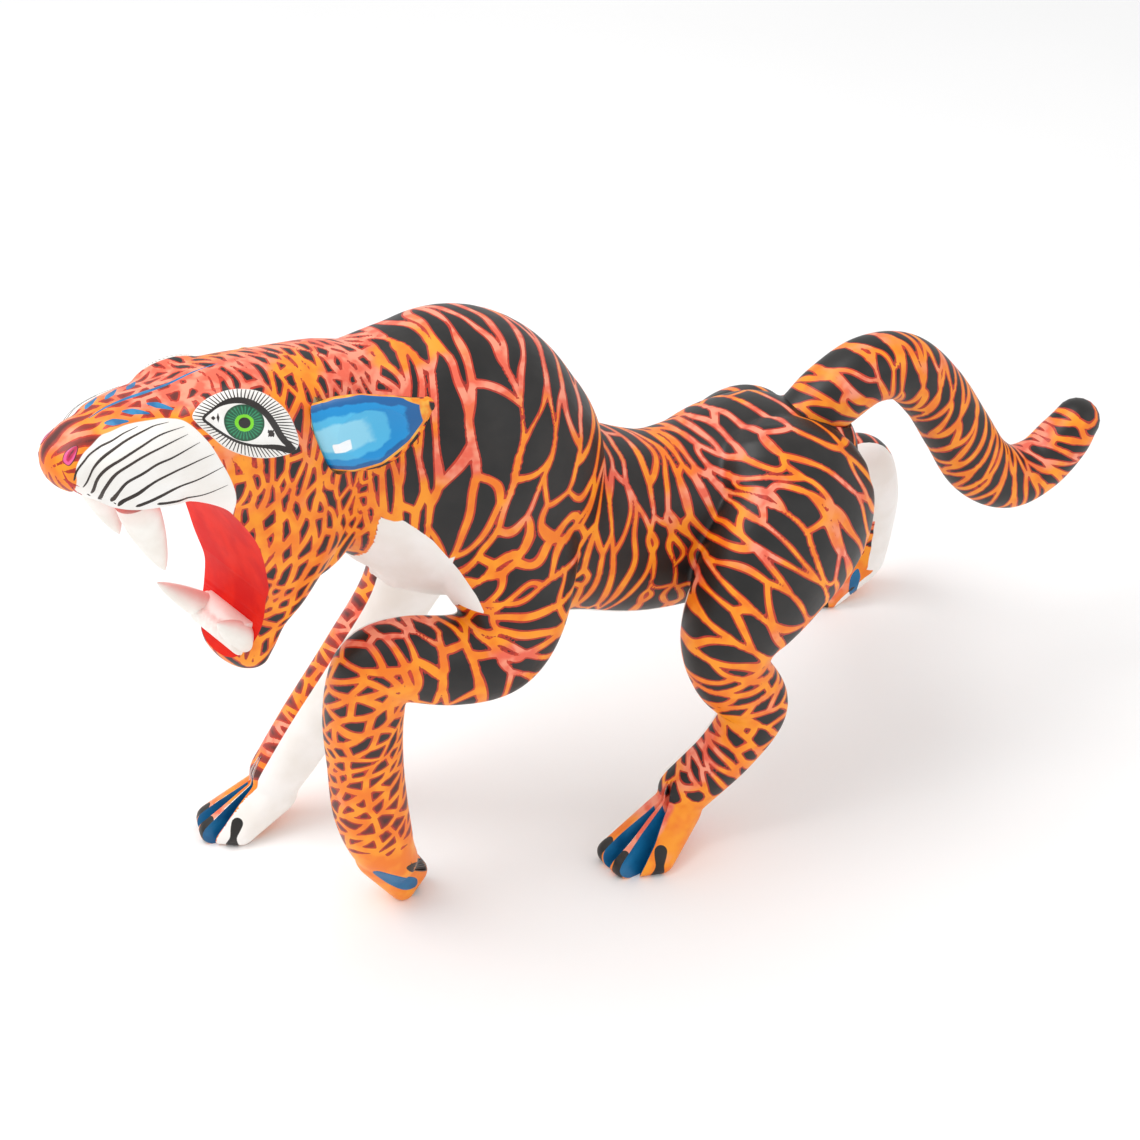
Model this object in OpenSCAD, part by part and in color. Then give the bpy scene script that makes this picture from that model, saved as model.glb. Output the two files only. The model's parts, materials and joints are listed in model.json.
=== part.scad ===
// Carved and painted wooden tiger, prowling with its mouth wide open.
// Frame: +Z up, the nose points to -X, the tiger's left side is -Y, the four paws stand on Z = 0.

/* [Figure] */
// Length from the nose to the tail's last curve
figure_length = 570; // [400:10:800]
// Turn of the head towards the left shoulder, in degrees
head_turn = 15; // [8:1:20]
// Exponent of the rounded sections: 2 is an ellipse, more is boxier
section_power = 2.1; // [2.0:0.1:2.6]

/* [Mouth] */
// How far the red throat is moved towards the lips
throat_forward = 0; // [0:1:6]
// Length of an upper fang outside the gum
upper_fang_length = 34; // [20:1:38]
// Length of the long lower fang outside the gum
lower_fang_length = 34; // [18:1:36]
// Length of the short lower fang outside the gum
short_fang_length = 17; // [10:1:20]

/* [Joinery] */
// Radius of the tenon carved on the tail
tail_peg_r = 7; // [5:0.5:9]
// Length of the tail's tenon
tail_peg_length = 28; // [18:1:32]
// Radius of the tenon carved on each ear
ear_peg_r = 4; // [3:0.5:5]
// Length of an ear's tenon
ear_peg_length = 12; // [8:1:14]
// Radius of the dowels in the neck, the shoulders and the hips
dowel_r = 5; // [4:0.5:6]
// Radius of the two pins in the lower jaw
jaw_pin_r = 2.5; // [2:0.5:3]
// Radial room around a tenon that is pulled out by hand
sliding_fit = 0.09; // [0.02:0.01:0.1]
// Gap between a loose piece's shoulder and its seat
seat_gap = 0.3; // [0.2:0.1:0.5]

/* [Hidden] */
$fn = 48;

design_length = 570;
// Puts the middle of the figure over the origin.
centring = [1, -6, 0];
model_scale = figure_length / design_length;
plenty = 400;

// Rows along each carved piece: x, y, z of the middle, half width sideways, half depth across.
torso_rows = [
    [-176, -7, 244, 36, 42], [-152, -1, 240, 38, 46], [-129, 0, 234, 44, 58], [-102, 0, 224, 53, 69],
    [-78, 0, 203, 55, 63], [-54, 0, 178, 49, 50], [-25, 0, 164, 43, 46], [5, 0, 153, 40, 46],
    [35, 0, 152, 42, 46], [60, 0, 158, 44, 46], [82, 0, 164, 40, 41], [97, 0, 167, 29, 31]];
front_left_rows = [
    [-84, -26, 202, 27, 38], [-84, -40, 180, 26, 34], [-87, -50, 158, 23, 26], [-98, -54, 144, 21, 22],
    [-118, -52, 143, 20, 21], [-142, -50, 150, 18, 20], [-156, -48, 147, 17, 19], [-161, -46, 122, 17, 19],
    [-161, -44, 92, 17, 18], [-160, -44, 64, 17, 18], [-156, -44, 42, 16, 16], [-150, -43, 28, 14, 12]];
front_right_rows = [
    [-93, 28, 190, 26, 44], [-93, 36, 160, 20, 30], [-108, 38, 124, 17, 20], [-134, 38, 88, 16, 18],
    [-160, 38, 56, 15, 16], [-180, 38, 30, 14, 14]];
hind_left_rows = [
    [76, -26, 172, 31, 44], [68, -41, 158, 31, 44], [44, -54, 140, 27, 37], [24, -62, 118, 23, 26],
    [23, -66, 98, 18, 20], [35, -69, 76, 16, 17], [22, -69, 54, 14, 15], [0, -64, 30, 13, 14]];
hind_right_rows = [
    [70, 26, 158, 30, 40], [92, 42, 136, 24, 30], [118, 56, 116, 18, 22], [156, 66, 105, 15, 16],
    [183, 70, 98, 14, 16], [195, 74, 72, 13, 15], [197, 78, 44, 13, 14], [196, 80, 24, 13, 13]];
tail_rows = [
    [97, 0, 185, 16, 16], [101, 0, 188, 16.3, 16.3], [113, 0, 197, 17, 17],
    [133, 0, 206, 17, 17], [155, 0, 202, 17, 17],
    [175, 0, 182, 17, 17], [192, 0, 156, 17.5, 17.5], [209, 0, 130, 18, 18], [229, 0, 116, 17, 17],
    [249, 0, 118, 15, 15], [264, 0, 130, 14, 14], [272, 0, 140, 12, 12]];

// The head has its own frame at the neck seam, turned towards the left shoulder.
head_seat = [-155, -2, 244];
skull_rows = [
    [12, 0, -2, 36, 43], [-10, 0, 5, 38, 44], [-34, 0, 15, 38, 39], [-58, 0, 25, 34, 34],
    [-80, 0, 31, 30, 27], [-100, 0, 36, 28, 22], [-114, 0, 38, 23, 18], [-122, 0, 40, 16, 13]];
cheek_rows = [
    [-30, 0, 14, 36, 38], [-34, 0, -16, 38, 40], [-39, 0, -38, 35, 29], [-42.5, 0, -52, 31, 19],
    [-49, 0, -64, 27, 12.5], [-53.5, 0, -75, 24.5, 11.5], [-56, 0, -82, 22, 11.5]];
throat_rows = [
    [-8, 0, -14, 34, 30], [-15, 0, -33, 30, 21], [-23, 0, -44, 27, 15], [-29, 0, -51, 23, 8]];
jaw_seam_z = -30;
// The mouth in profile: the palate from the lips back, the throat, and the jaw's lip.
gape_rows = [
    [-140, 28.5], [-123, 26], [-111, 23.5], [-102, 21.9], [-93.6, 19.3], [-80, 13.5], [-67.5, 3.8],
    [-60, -9.7],
    [-56.5, -22], [-54.5, -35], [-53.2, -46], [-53.8, -56], [-57, -67], [-64, -79.5], [-74, -93]];

// Paws: ankle, three toe tips.
front_right_paw = [[-183, 38, 20], [-215, 49, 5], [-217, 38, 5], [-204, 30, 5]];
hind_left_paw = [[-4, -64, 20], [-42, -64, 5], [-40, -77, 5], [-22, -82, 5]];
hind_right_paw = [[194, 81, 20], [166, 94, 5], [162, 83, 5], [173, 75, 5]];
front_left_paw = [[-156, -43, 32], [-144, -32, 6], [-137, -38, 9], [-146, -43, 5]];
toe_r = 7;
ankle_r = 13;
toe_notch_depth = 16;

// Tail seat and tenon lie along the tail's first stretch.
tail_seat = [97, 0, 185];
tail_lean = acos(0.6);
tail_collar_r = 17;

// Ears: the middle of the seat in the head's frame, and the blade's rows in the ear's own frame.
ear_seat_left = [-20, -35, 26];
ear_seat_right = [-20, -38, 13];
ear_back = 34;
ear_lift_left = 13;
ear_lift_right = -9;
ear_sink = 4;
ear_rows = [
    [0, 0, -4, 16, 6], [0, 0, -2, 16.4, 6.1], [0.1, 0, 1, 17, 6.3], [1, 0, 7, 18, 6.5], [5, -1, 19, 17, 6],
    [12, 0, 31, 11, 4.5], [19, 2, 39, 3.5, 2.5]];

// Teeth, in the head's frame: the gum line, then the way each one points.
upper_fang_seat = [-105, 18, 16];
upper_fang_lean = 14;
lower_fang_seat = [-61 - throat_forward, 14, -71];
lower_fang_lean = -43;
fang_root = 7;
fang_r = 8.5;
lower_fang_r = 6.5;
tooth_row_middle = [-60 - throat_forward, -72];
tooth_row_r = 8.5;
tooth_row_half_width = 17;
tooth_pitch = 5;

// The legs are glued on flats at this distance to either side of the middle, with a dowel across each.
side_seam = 18;
shoulder_left = [-82, -side_seam, 188];
shoulder_right = [-93, side_seam, 172];
hip_left = [58, -side_seam, 150];
hip_right = [70, side_seam, 142];
side_dowel_length = 34;

wood_orange = "#e8762c";
stripe_black = "#2b2625";
tooth_white = "#f4efe6";
mouth_red = "#e2231a";
raw_wood = "#d8b98a";

// A point of the smooth curve through b and c.
function curve(a, b, c, d, t) =
    0.5 * (2 * b + (c - a) * t + (2 * a - 5 * b + 4 * c - d) * t * t + (3 * b - a - 3 * c + d) * t * t * t);

// The rows with a mirrored row added before the first and after the last.
function padded(rows) =
    concat([2 * rows[0] - rows[1]], rows, [2 * rows[len(rows) - 1] - rows[len(rows) - 2]]);

function smooth_rows(rows, steps) =
    let (p = padded(rows))
    concat(
        [for (i = [1 : len(p) - 3]) for (s = [0 : steps - 1])
            curve(p[i - 1], p[i], p[i + 1], p[i + 2], s / steps)],
        [rows[len(rows) - 1]]);

function middle(row) = [row[0], row[1], row[2]];
function unit(v) = v / norm(v);
function heading(rows, i) =
    unit(middle(rows[min(i + 1, len(rows) - 1)]) - middle(rows[max(i - 1, 0)]));
function sideways(t) = unit([0, 1, 0] - t[1] * t);
function squared(v, power) = sign(v) * pow(abs(v), 2 / power);

// One rounded section around m, square to t.
function section(m, t, wide, deep, sides, power) =
    let (s = sideways(t), u = cross(t, s))
    [for (j = [0 : sides - 1])
        m + wide * squared(cos(360 * j / sides), power) * s
            + deep * squared(sin(360 * j / sides), power) * u];

// Shrinking sections that round an end over; way is -1 at the start and 1 at the end.
function round_end(row, t, way, rings, sides, power) =
    let (reach = min(row[3], row[4]))
    [for (k = [0 : rings - 1])
        let (i = way > 0 ? k + 1 : rings - k, a = 90 * (i - 0.15) / rings)
        each section(middle(row) + way * reach * sin(a) * t, t, row[3] * cos(a), row[4] * cos(a),
            sides, power)];

// A closed skin over rings of points that each have the same number of sides.
module skin(points, sides) {
    rings = len(points) / sides;
    polyhedron(points, concat(
        [[for (j = [0 : sides - 1]) j]],
        [for (i = [0 : rings - 2]) for (j = [0 : sides - 1])
            let (n = (j + 1) % sides)
            [i * sides + j, (i + 1) * sides + j, (i + 1) * sides + n, i * sides + n]],
        [[for (j = [sides - 1 : -1 : 0]) (rings - 1) * sides + j]]));
}

// A limb, a trunk or a tail: sections swept along the rows, round at the ends asked for.
module carved(rows, sides = 24, steps = 3, power = section_power, start_rings = 3, end_rings = 3) {
    r = smooth_rows(rows, steps);
    last = len(r) - 1;
    skin(concat(
        start_rings > 0 ? round_end(r[0], heading(r, 0), -1, start_rings, sides, power) : [],
        [for (i = [0 : last]) each section(middle(r[i]), heading(r, i), r[i][3], r[i][4], sides, power)],
        end_rings > 0 ? round_end(r[last], heading(r, last), 1, end_rings, sides, power) : []),
        sides);
}

// Everything is drawn in the figure's frame at its design size, then scaled once.
module at_size() {
    scale(model_scale) translate(centring) children();
}

module in_head() {
    translate(head_seat) rotate([0, 0, head_turn]) children();
}

// Joins faceted forms into one skin, so that round holes can be drilled into it afterwards.
module one_skin() {
    resize([0, 0, 0]) children();
}

// Half spaces that part the blocks from one another.
module behind_neck_seam() {
    translate([0, -plenty / 2, -plenty / 2]) cube(plenty);
}

module ahead_of_neck_seam() {
    translate([-plenty, -plenty / 2, -plenty / 2]) cube(plenty);
}

module below_jaw_seam() {
    translate([-plenty / 2, -plenty / 2, jaw_seam_z - plenty]) cube(plenty);
}

module below_floor() {
    translate([-plenty, -plenty, -2 * plenty]) cube(2 * plenty);
}

// The open mouth, cut right through from side to side.
module gape() {
    translate([-throat_forward, 0, 0]) rotate([90, 0, 0]) linear_extrude(plenty, center = true)
        polygon(concat([[-170, 34]], smooth_rows(gape_rows, 3), [[-170, -93]]));
}

module leg_form(rows, paw) {
    carved(rows);
    difference() {
        hull() {
            translate(paw[0]) sphere(ankle_r, $fn = 20);
            for (i = [1 : 3]) translate(paw[i]) sphere(toe_r, $fn = 16);
        }
        for (i = [1 : 2]) toe_notch(paw[0], (paw[i] + paw[i + 1]) / 2, norm(paw[i + 1] - paw[i]));
    }
}

// A wedge between two toes that runs back towards the ankle.
module toe_notch(ankle, gap, width) {
    ahead = unit([gap[0] - ankle[0], gap[1] - ankle[1], 0]);
    turn = atan2(ahead[1], ahead[0]);
    translate([gap[0], gap[1], 0]) rotate([0, 0, turn]) linear_extrude(2 * ankle_r)
        polygon([[-toe_notch_depth, 0], [toe_r + 4, width / 3], [toe_r + 4, -width / 3]]);
}

// Everything beyond the flat that a leg is glued on; side is -1 on the left and 1 on the right.
module beyond_side_seam(side) {
    translate([-plenty, side > 0 ? side_seam : -side_seam - plenty, -plenty])
        cube([2 * plenty, plenty, 2 * plenty]);
}

module between_side_seams() {
    translate([-plenty, -side_seam, -plenty]) cube([2 * plenty, 2 * side_seam, 2 * plenty]);
}

module leg_block(rows, paw, side) {
    intersection() {
        leg_form(rows, paw);
        beyond_side_seam(side);
    }
}

module leg(rows, paw, side) {
    difference() {
        one_skin() leg_block(rows, paw, side);
        below_floor();
        children();
    }
}

// The legs' roots that are carved on the middle block, between the flats.
module leg_roots() {
    intersection() {
        union() {
            carved(front_left_rows);
            carved(front_right_rows);
            carved(hind_left_rows);
            carved(hind_right_rows);
        }
        between_side_seams();
    }
}

module cross_dowel(at) {
    translate(at) rotate([90, 0, 0]) cylinder(side_dowel_length, r = dowel_r, center = true);
}

module shoulder_dowel_pair() {
    cross_dowel(shoulder_left);
    cross_dowel(shoulder_right);
}

module hip_dowel_pair() {
    cross_dowel(hip_left);
    cross_dowel(hip_right);
}

module neck_dowel_form() {
    in_head() translate([0, 0, 4]) rotate([0, 90, 0]) cylinder(56, r = dowel_r, center = true);
}

module jaw_pin_pair() {
    in_head() for (side = [-1, 1])
        translate([-32, side * 16, jaw_seam_z]) cylinder(22, r = jaw_pin_r, center = true);
}

// The tail's tenon, or with room its bore.
module tail_tenon(room = 0) {
    translate(tail_seat) rotate([0, tail_lean, 0]) translate([0, 0, -tail_peg_length - 4 * room])
        cylinder(tail_peg_length + 4 * room + 1, r = tail_peg_r + room);
}

// The round pocket that the tail's shoulder stands in; it flares because the tail bends away from it.
module tail_socket() {
    translate(tail_seat) rotate([0, tail_lean, 0]) translate([0, 0, -seat_gap])
        cylinder(40, r1 = tail_collar_r + seat_gap, r2 = tail_collar_r + 6);
}

// An ear's frame: its tenon runs along Z, out of the head. The right ear mirrors the left one.
module at_ear(side) {
    in_head() mirror([0, side > 0 ? 1 : 0, 0]) translate(side > 0 ? ear_seat_right : ear_seat_left)
        rotate([0, 0, ear_back]) rotate([90 - (side > 0 ? ear_lift_right : ear_lift_left), 0, 0]) children();
}

module ear_tenon(room = 0) {
    translate([0, 0, -ear_sink - ear_peg_length - 4 * room])
        cylinder(ear_peg_length + 4 * room + 1, r = ear_peg_r + room);
}

// The oval pocket that an ear's shoulder stands in; it flares because the blade leans back.
module ear_socket() {
    translate([1, 0, -ear_sink - seat_gap]) linear_extrude(40, scale = [1.6, 1.1])
        scale([8, 18.8]) circle(1, $fn = 36);
}

module ear(side) {
    color(wood_orange) at_size() at_ear(side) union() {
        one_skin() difference() {
            carved(ear_rows, start_rings = 0, power = 2);
            translate([-6, 0, 24]) rotate([0, 24, 0]) scale([0.5, 0.6, 1]) sphere(22, $fn = 28);
        }
        ear_tenon();
    }
}

// A fang along Z with its root sunk in the gum.
module fang(length, r) {
    rotate_extrude() polygon(concat([[0, -fang_root], [r, -fang_root], [r, 0]],
        [for (i = [1 : 7]) [r * pow(1 - pow(i / 8, 1.5), 0.75), length * i / 8]], [[0, length]]));
}

module upper_fang_form(side) {
    in_head() translate([upper_fang_seat[0], side * upper_fang_seat[1], upper_fang_seat[2]])
        rotate([0, 180 - upper_fang_lean, 0]) fang(upper_fang_length, fang_r);
}

module lower_fang_form(side, length) {
    in_head() translate([lower_fang_seat[0], side * lower_fang_seat[1], lower_fang_seat[2]])
        rotate([0, lower_fang_lean, 0]) fang(length, lower_fang_r);
}

// The white bar of small teeth across the lower jaw, shaped to the throat behind it.
module tooth_row_form() {
    in_head() intersection() {
        gape();
        translate([tooth_row_middle[0], 0, tooth_row_middle[1]]) union() {
            rotate([90, 0, 0]) cylinder(2 * tooth_row_half_width, r = tooth_row_r, center = true, $fn = 28);
            for (i = [-2 : 2]) translate([-7, i * tooth_pitch, 3]) sphere(tooth_pitch * 0.8, $fn = 16);
        }
    }
}

module torso() {
    color(stripe_black) at_size() difference() {
        one_skin() difference() {
            union() {
                carved(torso_rows, sides = 32);
                leg_roots();
            }
            in_head() ahead_of_neck_seam();
            leg_block(front_left_rows, front_left_paw, -1);
            leg_block(front_right_rows, front_right_paw, 1);
            leg_block(hind_left_rows, hind_left_paw, -1);
            leg_block(hind_right_rows, hind_right_paw, 1);
        }
        tail_socket();
        tail_tenon(sliding_fit);
        neck_dowel_form();
        shoulder_dowel_pair();
        hip_dowel_pair();
    }
}

module head() {
    color(wood_orange) at_size() difference() {
        one_skin() difference() {
            in_head() difference() {
                union() {
                    carved(skull_rows, sides = 28, start_rings = 0);
                    carved(cheek_rows, sides = 28);
                    carved(throat_rows, sides = 28, end_rings = 2);
                }
                behind_neck_seam();
                gape();
                below_jaw_seam();
            }
            at_ear(-1) ear_socket();
            at_ear(1) ear_socket();
        }
        at_ear(-1) ear_tenon(sliding_fit);
        at_ear(1) ear_tenon(sliding_fit);
        neck_dowel_form();
        jaw_pin_pair();
        upper_fang_form(-1);
        upper_fang_form(1);
    }
}

module lower_jaw() {
    color(mouth_red) at_size() difference() {
        one_skin() in_head() intersection() {
            difference() {
                union() {
                    carved(cheek_rows, sides = 28);
                    carved(throat_rows, sides = 28, end_rings = 2);
                }
                gape();
                behind_neck_seam();
            }
            below_jaw_seam();
        }
        jaw_pin_pair();
        lower_fang_form(-1, short_fang_length);
        lower_fang_form(1, lower_fang_length);
    }
}

module ear_left() {
    ear(-1);
}

module ear_right() {
    ear(1);
}

module upper_fang_left() {
    color(tooth_white) at_size() upper_fang_form(-1);
}

module upper_fang_right() {
    color(tooth_white) at_size() upper_fang_form(1);
}

module lower_fang_left() {
    color(tooth_white) at_size() lower_fang_form(-1, short_fang_length);
}

module lower_fang_right() {
    color(tooth_white) at_size() lower_fang_form(1, lower_fang_length);
}

module lower_tooth_row() {
    color(tooth_white) at_size() difference() {
        one_skin() tooth_row_form();
        lower_fang_form(-1, short_fang_length);
        lower_fang_form(1, lower_fang_length);
    }
}

module front_leg_left() {
    color(wood_orange) at_size() leg(front_left_rows, front_left_paw, -1) shoulder_dowel_pair();
}

module front_leg_right() {
    color(wood_orange) at_size() leg(front_right_rows, front_right_paw, 1) shoulder_dowel_pair();
}

module hind_leg_left() {
    color(wood_orange) at_size() leg(hind_left_rows, hind_left_paw, -1) hip_dowel_pair();
}

module hind_leg_right() {
    color(wood_orange) at_size() leg(hind_right_rows, hind_right_paw, 1) hip_dowel_pair();
}

module tail() {
    color(stripe_black) at_size() union() {
        carved(tail_rows, sides = 24, start_rings = 0);
        tail_tenon();
    }
}

module neck_dowel() {
    color(raw_wood) at_size() neck_dowel_form();
}

module shoulder_dowels() {
    color(raw_wood) at_size() shoulder_dowel_pair();
}

module hip_dowels() {
    color(raw_wood) at_size() hip_dowel_pair();
}

module jaw_pins() {
    color(raw_wood) at_size() jaw_pin_pair();
}

torso();
head();
lower_jaw();
ear_left();
ear_right();
upper_fang_left();
upper_fang_right();
lower_fang_left();
lower_fang_right();
lower_tooth_row();
front_leg_left();
front_leg_right();
hind_leg_left();
hind_leg_right();
tail();
neck_dowel();
shoulder_dowels();
hip_dowels();
jaw_pins();
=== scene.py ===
"""The looks of a carved and painted wooden tiger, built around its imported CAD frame.

All shapes are written in millimetres in the figure's own frame and turned into metres when a mesh is made.
"""
import json
import math

import bmesh
import bpy
import numpy as np
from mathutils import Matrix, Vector
from mathutils.bvhtree import BVHTree

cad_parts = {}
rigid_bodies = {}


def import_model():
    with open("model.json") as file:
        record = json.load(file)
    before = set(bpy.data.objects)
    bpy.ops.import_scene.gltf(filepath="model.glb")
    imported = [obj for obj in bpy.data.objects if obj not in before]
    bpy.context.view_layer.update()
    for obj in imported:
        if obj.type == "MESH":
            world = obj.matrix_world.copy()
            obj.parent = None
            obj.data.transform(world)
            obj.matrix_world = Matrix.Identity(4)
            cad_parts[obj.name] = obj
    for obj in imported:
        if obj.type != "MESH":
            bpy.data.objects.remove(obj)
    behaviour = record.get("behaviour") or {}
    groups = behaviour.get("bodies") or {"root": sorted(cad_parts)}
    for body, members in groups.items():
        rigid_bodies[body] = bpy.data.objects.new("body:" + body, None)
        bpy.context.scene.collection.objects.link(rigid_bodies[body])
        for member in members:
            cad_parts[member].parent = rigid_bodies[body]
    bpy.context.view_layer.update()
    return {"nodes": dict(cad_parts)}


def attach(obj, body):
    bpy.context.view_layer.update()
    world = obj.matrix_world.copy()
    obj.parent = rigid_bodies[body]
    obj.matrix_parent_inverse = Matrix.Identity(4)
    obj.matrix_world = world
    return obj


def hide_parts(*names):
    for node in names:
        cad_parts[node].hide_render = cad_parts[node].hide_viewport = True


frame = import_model()

MM = 0.001
# From the figure's own frame to the CAD's, which is centred.
CENTRING = np.array([1.0, -6.0, 0.0])
BODY = "figure"
CAMERA_ROUND, CAMERA_UP = math.radians(-26), math.radians(35)
# In metres: where the camera looks, and how far from it it stands.
CAMERA_TARGET, CAMERA_FAR = (-0.024, 0.010, 0.122), 1.12
SECTION_POWER = 2.1
VOXEL = 1.25
# How far the centres of the stripes wander, as a share of their spacing.
JITTER = 0.18
# Half the width of the ribbons between the stripes.
RIBBON = 1.3
# Stands for paint that a point is far from.
NOWHERE = -20.0
# Brush strokes: the spacing of their points, their thickness, and how deep their edges are sunk.
BRUSH_STEP, STROKE_THICK, SUNK = 0.7, 0.14, 0.12

# Rows along each carved piece: x, y, z of the middle, half width sideways, half depth across.
TORSO = [
    [-176, -7, 244, 36, 42], [-152, -1, 240, 38, 46], [-129, 0, 234, 44, 58], [-102, 0, 224, 53, 69],
    [-78, 0, 203, 55, 63], [-54, 0, 178, 49, 50], [-25, 0, 164, 43, 46], [5, 0, 153, 40, 46],
    [35, 0, 152, 42, 46], [60, 0, 158, 44, 46], [82, 0, 164, 40, 41], [97, 0, 167, 29, 31]]
FRONT_LEFT = [
    [-84, -26, 202, 27, 38], [-84, -40, 180, 26, 34], [-87, -50, 158, 23, 26], [-98, -54, 144, 21, 22],
    [-118, -52, 143, 20, 21], [-142, -50, 150, 18, 20], [-156, -48, 147, 17, 19], [-161, -46, 122, 17, 19],
    [-161, -44, 92, 17, 18], [-160, -44, 64, 17, 18], [-156, -44, 42, 16, 16], [-150, -43, 28, 14, 12]]
FRONT_RIGHT = [
    [-93, 28, 190, 26, 44], [-93, 36, 160, 20, 30], [-108, 38, 124, 17, 20], [-134, 38, 88, 16, 18],
    [-160, 38, 56, 15, 16], [-180, 38, 30, 14, 14]]
HIND_LEFT = [
    [76, -26, 172, 31, 44], [68, -41, 158, 31, 44], [44, -54, 140, 27, 37], [24, -62, 118, 23, 26],
    [23, -66, 98, 18, 20], [35, -69, 76, 16, 17], [22, -69, 54, 14, 15], [0, -64, 30, 13, 14]]
HIND_RIGHT = [
    [70, 26, 158, 30, 40], [92, 42, 136, 24, 30], [118, 56, 116, 18, 22], [156, 66, 105, 15, 16],
    [183, 70, 98, 14, 16], [195, 74, 72, 13, 15], [197, 78, 44, 13, 14], [196, 80, 24, 13, 13]]
TAIL = [
    [97, 0, 185, 16, 16], [101, 0, 188, 16.3, 16.3], [113, 0, 197, 17, 17], [133, 0, 206, 17, 17],
    [155, 0, 202, 17, 17], [175, 0, 182, 17, 17], [192, 0, 156, 17.5, 17.5], [209, 0, 130, 18, 18],
    [229, 0, 116, 17, 17], [249, 0, 118, 15, 15], [264, 0, 130, 14, 14], [272, 0, 140, 12, 12]]

# The head has its own frame at the neck seam, turned towards the left shoulder.
HEAD_SEAT = np.array([-155.0, -2.0, 244.0])
HEAD_TURN = 15.0
SKULL = [
    [12, 0, -2, 36, 43], [-10, 0, 5, 38, 44], [-34, 0, 15, 38, 39], [-58, 0, 25, 34, 34],
    [-80, 0, 31, 30, 27], [-100, 0, 36, 28, 22], [-114, 0, 38, 23, 18], [-122, 0, 40, 16, 13]]
CHEEK = [
    [-30, 0, 14, 36, 38], [-34, 0, -16, 38, 40], [-39, 0, -38, 35, 29], [-42.5, 0, -52, 31, 19],
    [-49, 0, -64, 27, 12.5], [-53.5, 0, -75, 24.5, 11.5], [-56, 0, -82, 22, 11.5]]
THROAT = [[-8, 0, -14, 34, 30], [-15, 0, -33, 30, 21], [-23, 0, -44, 27, 15], [-29, 0, -51, 23, 8]]
JAW_SEAM_Z = -30.0
# The mouth in profile: the palate from the lips back, the throat, and the jaw's lip.
GAPE = [
    [-140, 28.5], [-123, 26], [-111, 23.5], [-102, 21.9], [-93.6, 19.3], [-80, 13.5], [-67.5, 3.8], [-60, -9.7],
    [-56.5, -22], [-54.5, -35], [-53.2, -46], [-53.8, -56], [-57, -67], [-64, -79.5], [-74, -93]]

# Teeth, in the head's frame: the gum, the way each fang points, and its length.
UPPER_FANG, UPPER_LEAN, UPPER_LENGTH, UPPER_THICK = (-105, 18, 16), 14, 34, 8.5
LOWER_FANG, LOWER_LEAN, LOWER_LENGTHS, LOWER_THICK = (-61, 14, -71), -43, (17, 34), 6.5

# Paws: ankle, three toe tips.
PAWS = {
    "front_leg_right": [[-183, 38, 20], [-215, 49, 5], [-217, 38, 5], [-204, 30, 5]],
    "hind_leg_left": [[-4, -64, 20], [-42, -64, 5], [-40, -77, 5], [-22, -82, 5]],
    "hind_leg_right": [[194, 81, 20], [166, 94, 5], [162, 83, 5], [173, 75, 5]],
    "front_leg_left": [[-156, -43, 32], [-144, -32, 6], [-137, -38, 9], [-146, -43, 5]],
}
PAWS = {leg: np.array(points, float) for leg, points in PAWS.items()}

# Ears: the seat's middle in the head's frame, and the blade's rows in the ear's own frame.
EAR_SEAT_LEFT = np.array([-20.0, -35.0, 26.0])
EAR_SEAT_RIGHT = np.array([-20.0, -38.0, 13.0])
EAR_BACK, EAR_LIFT_LEFT, EAR_LIFT_RIGHT = 34.0, 13.0, -9.0
EAR = [[0, 0, -4, 16, 6], [0, 0, -2, 16.4, 6.1], [0.1, 0, 1, 17, 6.3], [1, 0, 7, 18, 6.5], [5, -1, 19, 17, 6],
       [12, 0, 31, 11, 4.5], [19, 2, 39, 3.5, 2.5]]
EAR_PEG, TAIL_PEG = 4.0, 7.0
BORE_GAP = 0.09

TAIL_SEAT = np.array([97.0, 0.0, 185.0])
TAIL_WAY = np.array([0.8, 0.0, 0.6])


# ---- shapes as arrays, in millimetres
def unit(way):
    return way / np.linalg.norm(way)


def circle(count):
    """The angles of count points spread round a circle."""
    return np.linspace(0, 2 * np.pi, count, endpoint=False)


def curve(a, b, c, d, t):
    """The point a share t of the way from b to c, on a smooth curve through four points."""
    return 0.5 * (2 * b + (c - a) * t + (2 * a - 5 * b + 4 * c - d) * t * t + (3 * b - a - 3 * c + d) * t ** 3)


def smooth_rows(rows, steps=None):
    """The rows with smooth ones put between them: steps to a gap, or about BRUSH_STEP apart."""
    p = np.array(rows, float)
    p = np.vstack([2 * p[0] - p[1], p, 2 * p[-1] - p[-2]])
    out = []
    for i in range(1, len(p) - 2):
        n = steps or max(2, int(np.linalg.norm(p[i + 1] - p[i]) / BRUSH_STEP))
        out += [curve(*p[i - 1:i + 3], k / n) for k in range(n)]
    return np.array(out + [p[-2]])


def run_along(points):
    """How far along a line each of its points lies."""
    return np.concatenate([[0], np.cumsum(np.linalg.norm(np.diff(points, axis=0), axis=1))])


def skeleton(rows, steps):
    """Smooth rows, the line's direction at each, the two directions across it, and how far along it lies."""
    r = smooth_rows(rows, steps)
    middle = r[:, :3]
    t = np.vstack([middle[1] - middle[0], middle[2:] - middle[:-2], middle[-1] - middle[-2]])
    t /= np.linalg.norm(t, axis=1)[:, None]
    s = np.array([0.0, 1.0, 0.0]) - t[:, 1:2] * t
    s /= np.linalg.norm(s, axis=1)[:, None]
    return r, t, s, np.cross(t, s), run_along(middle)


def walls(rings, sides):
    """The faces of a closed skin over rings of points that lie one after another."""
    faces = [list(range(sides))[::-1]]
    for i in range(0, (rings - 1) * sides, sides):
        for j in range(sides):
            k = (j + 1) % sides
            faces.append([i + j, i + k, i + sides + k, i + sides + j])
    return faces + [list(range((rings - 1) * sides, rings * sides))]


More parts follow.
